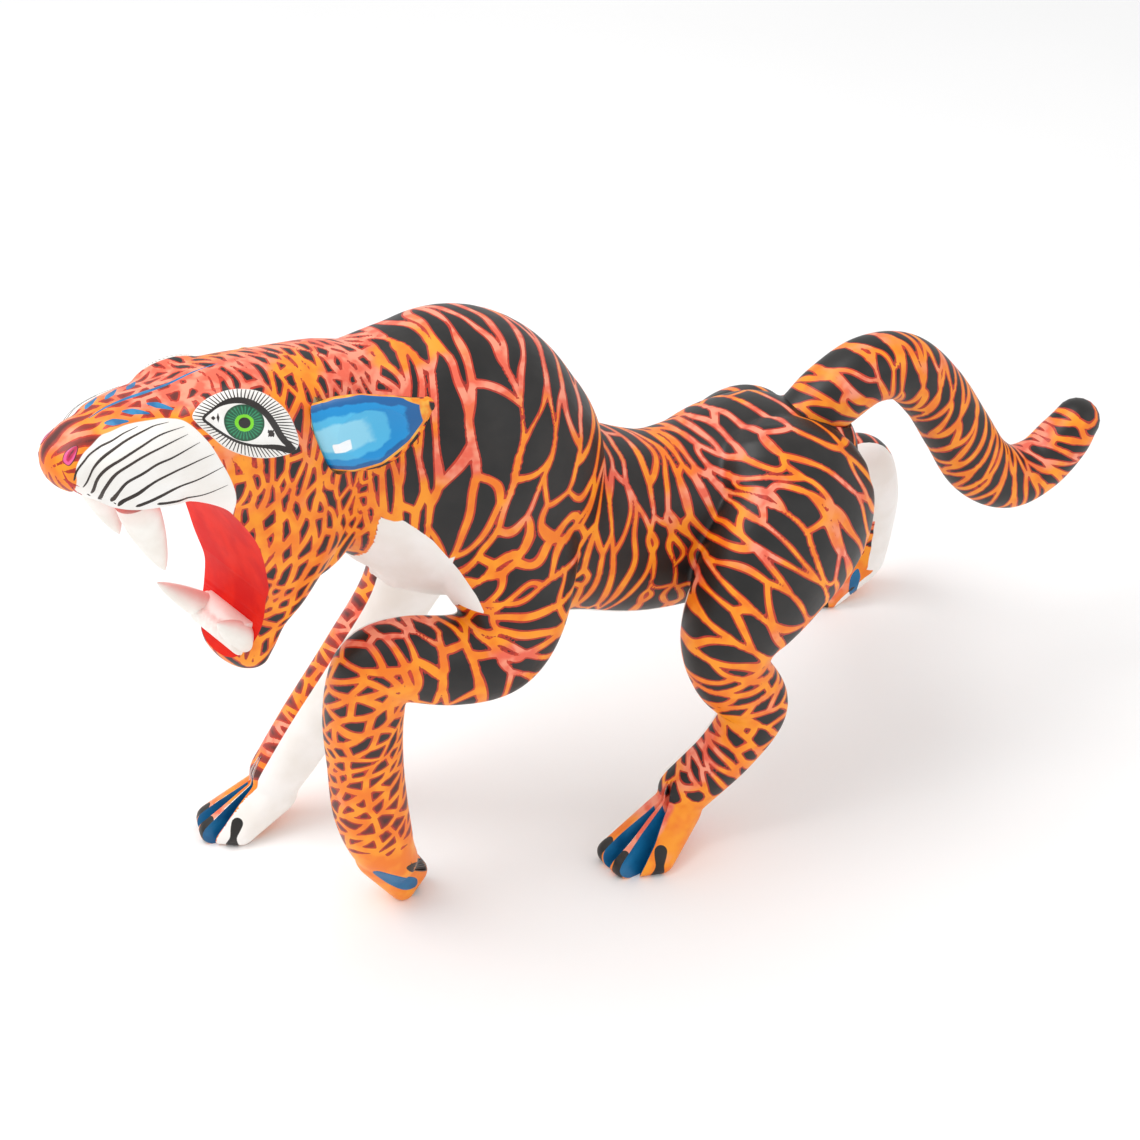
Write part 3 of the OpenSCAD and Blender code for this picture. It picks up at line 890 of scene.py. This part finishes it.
# Inner sides of the legs.
for leg, way in (("front_leg_right", -1), ("hind_leg_right", -1), ("front_leg_left", 1), ("hind_leg_left", 1)):
    inner = (NY * way - 0.42) * 14
    if leg == "hind_leg_right":
        inner = np.where(Z < 60, np.minimum(inner, (NX + np.where(Z < 22, 0, 0.3)) * 14), inner)
    whiten(on(leg) & (spans[leg][1] > 45), inner)

# Stripes end above the paws, which are plain. Claws: how far each point lies inside a bar along a toe's front.
claw = np.full(len(P), NOWHERE)
for leg in PAWS:
    ankle, *tips = PAWS[leg]
    near = np.linalg.norm(P - ankle, axis=1) < 62
    edge = edge * (1 - np.clip((ankle[2] + 15 - Z) / 5, 0, 1) * near)
    for tip in tips:
        ahead = unit((tip - ankle) * [1, 1, 0])
        low, high = tip + 6.5 * ahead - [0, 0, 4], tip + 1.5 * ahead + [0, 0, 7.5]
        bar = high - low
        f = np.clip((P - low) @ bar / (bar @ bar), 0, 1)
        claw = np.maximum(claw, 3.3 - np.linalg.norm(P - low - f[:, None] * bar, axis=1))

store(whole.data, edge=edge, rib=rib, white=white, claw=claw, pink=pink, warm=warm)


# ---- parting the carving into its pieces
def part(mesh, index, name):
    """The faces of one piece as an object of its own, with the shading of the whole."""
    starts, totals, paint = (
        read(mesh.polygons, n, kind=np.int32) for n in ("loop_start", "loop_total", "material_index"))
    corners = read(mesh.loops, "vertex_index", kind=np.int32)
    keep = np.flatnonzero(owner[corners[starts]] == index)
    picked = np.concatenate([np.arange(starts[i], starts[i] + totals[i]) for i in keep])
    used, back = np.unique(corners[picked], return_inverse=True)
    made = bpy.data.meshes.new(name)
    made.vertices.add(len(used))
    made.vertices.foreach_set("co", read(mesh.vertices, "co", 3)[used].ravel())
    made.loops.add(len(picked))
    made.loops.foreach_set("vertex_index", back.astype(np.int32))
    made.polygons.add(len(keep))
    made.polygons.foreach_set("loop_start", np.concatenate([[0], np.cumsum(totals[keep])[:-1]]).astype(np.int32))
    made.update(calc_edges=True)
    made.shade_smooth()
    for a in mesh.attributes:
        if a.domain == "POINT" and a.data_type == "FLOAT":
            store(made, **{a.name: read(a.data, "value")[used]})
    coat(made, *PAINTS)
    made.polygons.foreach_set("material_index", paint[keep])
    made.normals_split_custom_set(read(mesh.corner_normals, "vector", 3)[picked].tolist())
    obj = add_object(name, made)
    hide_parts(name)
    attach(obj, BODY)
    obj.name = name + "_carving"


for i, name in enumerate(names):
    part(whole.data, i, name)
drop(whole)


# ---- painted detail laid on the head and paws
def surface_of(names):
    """A tree to find points of some pieces' surface, in millimetres."""
    meshes = [bpy.data.objects[n + "_carving"].data for n in names]
    points, faces = joined([(points_of(m), [list(f.vertices) for f in m.polygons]) for m in meshes])
    return BVHTree.FromPolygons(points.tolist(), faces)


HEAD_SKIN = surface_of(["head", "lower_jaw", "torso"])
PAW_SKIN = surface_of(["front_leg_left", "hind_leg_right"])
# The way from the figure back to the camera.
BACK = np.array([math.sin(CAMERA_ROUND) * math.cos(CAMERA_UP),
                 -math.cos(CAMERA_ROUND) * math.cos(CAMERA_UP), math.sin(CAMERA_UP)])
# Right and up in the camera's picture, in the figure's frame and then in the head's.
VIEW_RIGHT, VIEW_UP = np.array([0.899, -0.438, 0]), np.array([0.251, 0.516, 0.819])
BACK_H = BACK @ HEAD_MATRIX
EYE_RIGHT = unit(np.cross([0, 0, 1], BACK_H))
EYE_UP = np.cross(BACK_H, EYE_RIGHT)


def cast(start, way, skin=HEAD_SKIN):
    """The first point of a surface from start along way, and the surface's direction there."""
    hit, normal, _, _ = skin.ray_cast(Vector(start), Vector(way))
    if hit is None:
        hit, normal, _, _ = skin.find_nearest(Vector(start) + 60 * Vector(way))
    if Vector(normal).dot(Vector(way)) > 0:
        normal = -normal
    return np.array(hit), np.array(normal)


def from_side(side):
    """Places x and z of the head's frame on its left (-1) or right (1) side."""
    def place(q):
        return cast(from_head([[q[0], side * 90, q[1]]])[0], HEAD_MATRIX @ np.array([0, -side, 0]))
    return place


def from_above(q):
    """Places x and y of the head's frame on its top."""
    return cast(from_head([[q[0], q[1], 120]])[0], [0, 0, -1])


def as_seen(middle, side):
    """Places a flat picture, in millimetres from a middle in the head's frame, on the head; the far side mirrors it."""
    def place(q):
        at = np.array(middle) + q[0] * EYE_RIGHT + q[1] * EYE_UP
        start, way = at + 60 * BACK_H, -BACK_H
        if side > 0:
            start, way = start * [1, -1, 1], way * [1, -1, 1]
        return cast(from_head([start])[0], HEAD_MATRIX @ way)
    return place


def on_paw(middle):
    """Places a flat picture, in millimetres from a middle in the figure's frame, on a paw."""
    def place(q):
        return cast(np.array(middle) + q[0] * VIEW_RIGHT + q[1] * VIEW_UP + 60 * BACK, -BACK, PAW_SKIN)
    return place


def stroke(points, place, wide, blunt=False):
    """One brush stroke laid on the surface: wide in its middle and pointed at its ends, or blunt at its start."""
    line = smooth_rows(points)
    n = len(line)
    run = run_along(line)
    run /= run[-1]
    way = np.gradient(line, axis=0)
    way /= np.maximum(np.linalg.norm(way, axis=1), 1e-9)[:, None]
    beside = np.column_stack([-way[:, 1], way[:, 0]])
    grown = np.minimum(1, np.minimum(run / 0.04 if blunt else run / 0.45, (1 - run) / 0.75)) ** 0.65
    half = 0.5 * wide * np.maximum(grown, 0.05)
    columns, tops = (-1, -0.55, 0, 0.55, 1), (-SUNK, 0.8 * STROKE_THICK, STROKE_THICK, 0.8 * STROKE_THICK, -SUNK)
    verts = []
    for i in range(n):
        for c, lift in zip(columns, tops):
            at, normal = place(line[i] + c * half[i] * beside[i])
            verts.append(at + normal * (lift if 0 < i < n - 1 else -SUNK))
    return np.array(verts), [[5 * i + j, 5 * i + j + 1, 5 * i + 6 + j, 5 * i + 5 + j]
                             for i in range(n - 1) for j in range(4)]


def laid(name, strokes, material):
    """Several strokes as one piece that rides on the figure."""
    obj = make_mesh(name, *joined(strokes), material)
    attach(obj, BODY)


# Whiskers, from the front to the back, in x and z of the head's frame, with the widest width.
WHISKERS = [
    ([(-129.5, 38.5), (-127.5, 43.5), (-122, 47.5), (-114.5, 50.5), (-107, 53), (-99, 54)], 0.9),
    ([(-126.5, 34.5), (-121, 43.5), (-109.5, 50.5), (-96, 52.7), (-86.5, 52.2)], 1.1),
    ([(-123, 30), (-121.5, 37.5), (-117.5, 42.5), (-111, 46), (-103, 48.5), (-93.5, 50), (-81.5, 49.5)], 1.3),
    ([(-120.5, 26.5), (-119.5, 33.5), (-115.5, 40), (-109, 43.5), (-102, 45.5), (-93, 46.5), (-81.5, 47)], 1.5),
    ([(-118, 27), (-115.5, 31), (-112, 36), (-105, 39), (-99, 41), (-91.5, 41.5), (-78, 43)], 1.7),
    ([(-116.5, 25.5), (-114, 28), (-108, 30.5), (-100.5, 34), (-92.5, 35.5), (-85.5, 36), (-73.5, 37)], 1.8),
    ([(-111, 25), (-105, 26), (-98, 27), (-90, 27.5), (-82, 28), (-70.5, 30.5)], 1.8),
    ([(-102.5, 24), (-96, 22), (-88, 19.5), (-80, 18.5), (-69.5, 21)], 1.6),
    ([(-130, 36), (-129, 33.5)], 0.7), ([(-127, 31), (-125.8, 29)], 0.8), ([(-124, 30), (-122.4, 28)], 0.8),
    ([(-121, 28.5), (-119.6, 26.8)], 0.9), ([(-117.5, 27.5), (-116.3, 26)], 0.9),
]
NOSTRIL = (-127.5, -9, 48.5)
LIP_FOLD = [(-3.4, -5.6), (-1.2, -11), (1.6, -16), (4.5, -19)]
# Strokes on top of the muzzle, in x and y of the head's frame, for the left side.
BLUE_STROKES = [[(-110, -7), (-105.5, -10), (-101, -12.5)], [(-101, -6), (-96, -9.5), (-91.5, -13)],
                [(-90, -7), (-85.5, -11), (-81.5, -15)]]
INK = plain_paint("brush_ink", "2a211d", "3c302a", 0.42, 120.0)
LIP = plain_paint("brush_red", "c41420", "d62a2c", 0.4, 120.0)
SKY = plain_paint("brush_blue", "0a649c", "2a88bc", 0.45, 160.0)
marks, blues = [], []
for side in (-1, 1):
    marks += [stroke(line, from_side(side), wide, blunt=True) for line, wide in WHISKERS]
    blues += [stroke([(x, -side * y) for x, y in line], from_above, 5.4) for line in BLUE_STROKES]
blues.append(stroke([(-113, 0), (-98, 0.5), (-80, 0), (-64, 0.5), (-50, 0)], from_above, 3.2))
laid("whisker_strokes", marks, INK)
laid("lip_strokes", [stroke(LIP_FOLD, as_seen(NOSTRIL, side), 1.5) for side in (-1, 1)], LIP)
laid("blue_strokes", blues, SKY)

# Eyes: rings of points out to the edge of the white surround, which carry the distances the paint needs.
EYE_MIDDLE = np.array([-60.0, -31.0, 47.0])
SURROUND = [(-19.6, 2.3), (-16.5, 7.4), (-12.4, 10.8), (-7, 13.4), (-1.5, 14.5), (5, 13.8), (11, 10.6), (16, 5.8),
            (19.2, -0.5), (20.8, -7.2), (18.6, -11.2), (13, -13.4), (6, -14.3), (-1, -13.2), (-7.5, -10.4), (-13, -5.6),
            (-17.6, -1.2)]
LIDS = [(-15.1, 1.1), (-12.4, 4.0), (-8.6, 7.0), (-4, 8.8), (0.5, 8.9), (4.5, 7.2), (8.5, 3.6), (11.6, -1.0),
        (14.2, -5.6), (18, -10.4), (12, -9.6), (6, -9.3), (1, -8.8), (-4, -7.2), (-9, -4.2), (-12.8, -1.2)]


def patch(name, place, outline, rings, material, lids=None, lift=0.16):
    """A painted disc inside an outline, laid on the surface, with its own flat place stored at every point."""
    rim = closed_line(outline, 241)
    m = len(rim)
    flat = np.array([rim[j] * (i / rings) for i in range(1, rings + 1) for j in range(m)])
    verts = []
    for i, q in enumerate(flat):
        at, normal = place(q)
        verts.append(at + normal * (lift if i < m * (rings - 1) else -0.15))
    faces = [[i * m + j, i * m + j + 1, (i + 1) * m + j + 1, (i + 1) * m + j]
             for i in range(rings - 1) for j in range(m - 1)]
    faces.append(list(range(m - 1))[::-1])
    obj = make_mesh(name, verts, faces, material)
    if lids is not None:
        store(obj.data, lid=inside_by(flat, closed_line(lids, 241)))
    store(obj.data, rim=inside_by(flat, rim), lash=np.tile(np.linspace(0, 1, m), rings),
          across=flat[:, 0], up=flat[:, 1])
    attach(obj, BODY)


def eye_paint():
    p = Paint("eye_paint")
    x, y, lid, rim, lash = (p.value(n) for n in ("across", "up", "lid", "rim", "lash"))
    r = p.maths("SQRT", x * x + y * y)
    wild = (p.noise(700, 2) - 0.5) * 0.7
    # The iris: rays, a light green ring and the pupil.
    rays = p.maths("SINE", p.maths("ARCTAN2", y, x) * 30.0 + wild * 4.0)
    green = p.shift(rays + wild, -0.1, 0.9, "0d5a38", "2f9468")
    green = p.shift(r, 6.2, 7.4, green, "0a4a2e")
    c = p.shift(r + wild, 3.45, 3.6, "7ee01a", green)
    c = p.shift(r, 2.2, 2.35, "1a1712", c)
    iris = p.over(r + wild * 0.2, 7.45, 7.6)
    # The white of the eye, with a dot in front of the iris and ticks behind it.
    ball_white = p.shift(p.noise(120, 2), 0.4, 0.7, "f4f1ec", "fffdfa")
    dots = p.maths("MINIMUM", abs(x + 11.4) + abs(y - 1.4), abs(x + 9.6) * 1.6 + abs(y - 1.6) * 0.45)
    lean = p.maths("PINGPONG", (x - 8.6) + y * -0.35, 0.9)
    ends = p.maths("MAXIMUM", abs(y + 3.9) - 1.3, abs(x - 10.0) - 1.1)
    dots = p.maths("MINIMUM", dots, abs(lean - 0.45) * 1.7 + ends * 2.0 + 0.45)
    c = p.mix(iris, c, p.shift(dots + wild * 0.2, 0.85, 0.98, "2a211d", ball_white))
    # Lashes round it, and the black line of the lids.
    hairs = p.maths("PINGPONG", lash * 66.0, 0.5) + wild * 0.1
    hair_wide = 0.085 + p.over(rim, 0.4, 5.0) * 0.1
    fringe = p.shift(hairs, hair_wide, hair_wide + 0.07, "2a211d", "f6f3ee")
    fringe = p.shift(rim, 0.35, 0.6, "efe9e2", fringe)
    line_wide = 0.55 + p.over(x + y, -6.0, 6.0) * 0.75
    ring = abs(lid + wild * 0.3) - line_wide
    c = p.shift(lid, -0.05, 0.05, fringe, c)
    c = p.shift(ring, -0.07, 0.07, "231c19", c)
    bump = p.bump(p.over(ring, -0.2, 0.2) * -1.0 + p.noise(500, 2), 0.35)
    return p.done(c, 0.22 + p.noise(300, 2) * 0.12, Normal=bump)


def nostril_paint():
    p = Paint("nostril_paint")
    x, y, rim = (p.value(n) for n in ("across", "up", "rim"))
    inner = rim + (p.noise(500, 2) - 0.5) * 0.8 + (x + y) * 0.16
    c = p.shift(inner, 0.9, 1.7, "ee5a9a", "c02050")
    c = p.shift(inner, 1.9, 2.5, c, "5a0f1e")
    c = p.shift(rim, 0.35, 0.6, "4a2420", c)
    return p.done(c, 0.25 + p.noise(300, 2) * 0.12, Normal=grain_bump(p, 0.15))


EYE, NOSTRIL_PAINT = eye_paint(), nostril_paint()
for side, at in ((-1, "left"), (1, "right")):
    patch("eye_" + at, as_seen(EYE_MIDDLE, side), SURROUND, 44, EYE, LIDS, lift=0.22)
    patch("nostril_" + at, as_seen(NOSTRIL, side), [
        (-2.9, -2.6), (-2.3, 0.6), (-0.2, 2.8), (2.2, 4.0), (3.4, 3.2), (2.9, 0.2), (1.8, -2.6), (-0.4, -4.6)],
        12, NOSTRIL_PAINT)

# The blue and the claws on the paws that turn their toes away.
patch("paw_blue_near", on_paw((-152.9, -60.9, 24.8)), [
    (-14.5, 6.8), (-11, 7.7), (-4.8, 5.3), (1.5, 2.6), (5.6, 0.6), (6.6, -2), (5.2, -5), (0, -5.3), (-6.3, -1.5),
    (-11.1, 2.9)], 8, BLUE)
patch("paw_claw_near", on_paw((-143.9, -61.6, 29.3)), [
    (-6.3, 2.4), (-3.4, 4.4), (0, 3.9), (3.2, 1), (4.4, -1.6), (2.8, -3), (0, -2.8), (-3.9, -0.8)], 8, INK)
patch("paw_blue_far", on_paw((182.3, 63.6, 19)), [
    (1.2, 9), (3.3, 4.6), (2.3, -1.7), (1.2, -6.5), (-2.2, -7.3), (-3.6, -3), (-2.6, 4.2)], 8, BLUE)
patch("paw_claw_far", on_paw((182.6, 60.6, 11.6)), [
    (-1.2, 2.4), (1.2, 2.1), (2.3, 0.3), (1.4, -2), (-1.2, -2.4), (-2.4, -0.4)], 8, INK, lift=0.2)

# ---- ears
EAR_PAINT = stripe_paint("ear_paint", ear=True)
for side in (-1, 1):
    name = "ear_left" if side < 0 else "ear_right"
    blade = make_mesh(name + "_carving", *outward(*at_ear(loft(EAR, 64, 10, 2.0, start=0, end=6), side)), EAR_PAINT)
    carve(blade, at_ear(ball([-6, 0, 24], (11, 15.6, 23), turn("y", 24), 64, 40), side))
    EP = points_of(blade.data)
    EN = normals_of(blade.data)
    own = to_head(EP)
    if side > 0:
        own = own * [1, -1, 1]
    matrix, seat = ear_stand(side)
    own = (own - seat) @ matrix
    widths = np.interp(own[:, 2], [r[2] for r in EAR], [r[3] for r in EAR])
    inward = np.minimum(widths - np.abs(own[:, 1] - 1), 0.5 * (40 - own[:, 2]))
    facing = EN @ (from_ear([[0.0, 0, 0]], side)[0] - from_ear([[1.0, 0, 0]], side)[0])
    back_seeds = seeds_along([[*from_ear([r[:3]], side)[0], r[3], r[4]] for r in EAR], 6, 16, 2.2, 60)
    # light marks where the painted highlight lies in the ear's hollow.
    store(blade.data, inner=np.minimum(inward - 1.3, (facing - 0.1) * 5), depth=inward,
          light=np.minimum(2.2 - np.abs(own[:, 1] + 3), 3.5 - np.abs(own[:, 2] - 6)),
          edge=cells(EP + wobble(EP, 20, 0.8), back_seeds, EN)[0], rib=RIBBON, white=NOWHERE, claw=NOWHERE, pink=0.1)
    crisp(blade.data, 35)
    peg = make_mesh(name + "_peg", *outward(*at_ear(tube([0, 0, -16], [0, 0, -3.5], EAR_PEG, sides=40), side)), WOOD)
    crisp(peg.data, 35)
    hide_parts(name)
    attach(blade, name)
    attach(peg, name)

# ---- tail
tail = make_mesh("tail_carving", *outward(*loft(TAIL, 72, 24, start=0)), STRIPES)
TP, TN = points_of(tail.data), normals_of(tail.data)
# The tail's ribbons turn salmon pink by the paint's own random tone and by painted light on their upward-facing side.
store(tail.data, edge=paint_stripes(tail.data, TP, tail_seeds, TN), rib=RIBBON + 0.3 * ripple(TP, 22, 4),
      pink=0.1 + 0.75 * (TN[:, 2] - 0.3) + 0.3 * ripple(TP, 30, 6), white=NOWHERE, claw=NOWHERE)
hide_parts("tail")
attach(tail, "tail")
peg = make_mesh("tail_peg", *outward(*tube(TAIL_SEAT - 28 * TAIL_WAY, TAIL_SEAT + 1 * TAIL_WAY, TAIL_PEG)), WOOD)
crisp(peg.data, 35)
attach(peg, "tail")


# ---- teeth
def tooth_paint():
    p = Paint("tooth_paint")
    c = p.shift(p.noise(60, 3), 0.35, 0.7, "f1ebe2", "fdfaf4")
    c = p.mix(p.over(p.value("up"), 4.0, -6.0) * 0.35, c, "f3cfc4")
    return p.done(c, 0.24 + p.noise(180, 3) * 0.14, Normal=grain_bump(p, 0.2))


TOOTH = tooth_paint()


def fang(name, seat, lean, length, thick):
    """A fang that tapers in a slow curve, with its root sunk in the gum."""
    rows = [[0, 0, -7, thick, thick], [0, 0, -3, thick, thick]]
    for t in np.linspace(0, 0.985, 14):
        r = thick * (1 - t ** 1.5) ** 0.75
        rows.append([0, 0, length * t, r, r])
    points, faces = loft(rows, 40, 3, 2.0, start=0, end=4)
    points[:, 2] = np.minimum(points[:, 2], length)
    shape = in_head((points @ turn("y", lean).T + seat, faces))
    obj = make_mesh(name + "_carving", *outward(*shape), TOOTH)
    store(obj.data, up=points[:, 2])
    crisp(obj.data, 50)
    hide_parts(name)
    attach(obj, BODY)


for side, at, length in ((-1, "left", LOWER_LENGTHS[0]), (1, "right", LOWER_LENGTHS[1])):
    fang("upper_fang_" + at, np.array(UPPER_FANG) * [1, side, 1], 180 - UPPER_LEAN, UPPER_LENGTH, UPPER_THICK)
    fang("lower_fang_" + at, np.array(LOWER_FANG) * [1, side, 1], LOWER_LEAN, length, LOWER_THICK)

shapes = [tube([-60, -16.8, -72], [-60, 16.8, -72], 8.3, sides=64)]
shapes += [ball((-67 + 0.3 * abs(i), 5 * i, -69), (4, 3.6, 4)) for i in range(-2, 3)]
row = make_mesh("lower_tooth_row_carving", *joined([in_head(outward(*shape)) for shape in shapes]))
use(row, "REMESH", mode="VOXEL", voxel_size=0.8 * MM)
use(row, "SMOOTH", factor=0.5, iterations=3)
carve(row, gape(), operation="INTERSECT")
crisp(row.data, 45)
row.data.materials.clear()
coat(row.data, TOOTH)
store(row.data, up=1.0)
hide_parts("lower_tooth_row")
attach(row, BODY)

for node in frame["nodes"].values():
    if not node.hide_render:
        node.data.materials.clear()
        coat(node.data, WOOD)

# Smoothing and brush strokes pass the CAD's box by a tenth of a millimetre; every carved piece is kept inside it.
LOW, HIGH = np.array([-284.85, -94.85, 0]) * MM, np.array([284.75, 94.85, 301.85]) * MM
cad_nodes = set(frame["nodes"].values())
for obj in list(bpy.context.scene.objects):
    if obj.type == "MESH" and obj not in cad_nodes:
        keep_inside(obj.data, LOW, HIGH)

# ---- floor, light and camera
floor_mesh = bpy.data.meshes.new("floor")
floor_mesh.from_pydata([(-6, -6, 0), (6, -6, 0), (6, 6, 0), (-6, 6, 0)], [], [(0, 1, 2, 3)])
floor = add_object("floor", floor_mesh)
floor.location.z = -0.0002
paper = Paint("floor_paper")
pale = paper.shift(paper.noise(3, 2), 0.3, 0.7, (0.965, 0.965, 0.965, 1), (0.98, 0.98, 0.98, 1))
coat(floor_mesh, paper.done(pale, 0.9))

world = bpy.data.worlds.new("studio")
bpy.context.scene.world = world
world.use_nodes = True
sky = world.node_tree.nodes["Background"].inputs
sky["Color"].default_value = (1, 1, 1, 1)
sky["Strength"].default_value = 0.8


def aimed(name, data, place, way):
    """A light or camera that stands at a place, in metres, and looks along way."""
    obj = add_object(name, data)
    obj.location = place
    obj.rotation_mode = "QUATERNION"
    obj.rotation_quaternion = way.to_track_quat("-Z", "Y")
    return obj


for name, place, size, watts in (("key", (-0.8, 0.3, 1.5), 1.1, 14), ("fill", (0.9, -1.5, 1.0), 1.5, 4)):
    light = bpy.data.lights.new(name, "AREA")
    light.shape = "RECTANGLE"
    light.size = light.size_y = size
    light.energy = watts
    aimed(name, light, place, Vector((0, 0, 0.1)) - Vector(place))

lens = bpy.data.cameras.new("camera")
lens.lens = 70.4
lens.sensor_width = 36
back = Vector(BACK)
camera = aimed("camera", lens, Vector(CAMERA_TARGET) + back * CAMERA_FAR, -back)
bpy.context.scene.camera = camera
bpy.context.scene.view_settings.view_transform = "Standard"
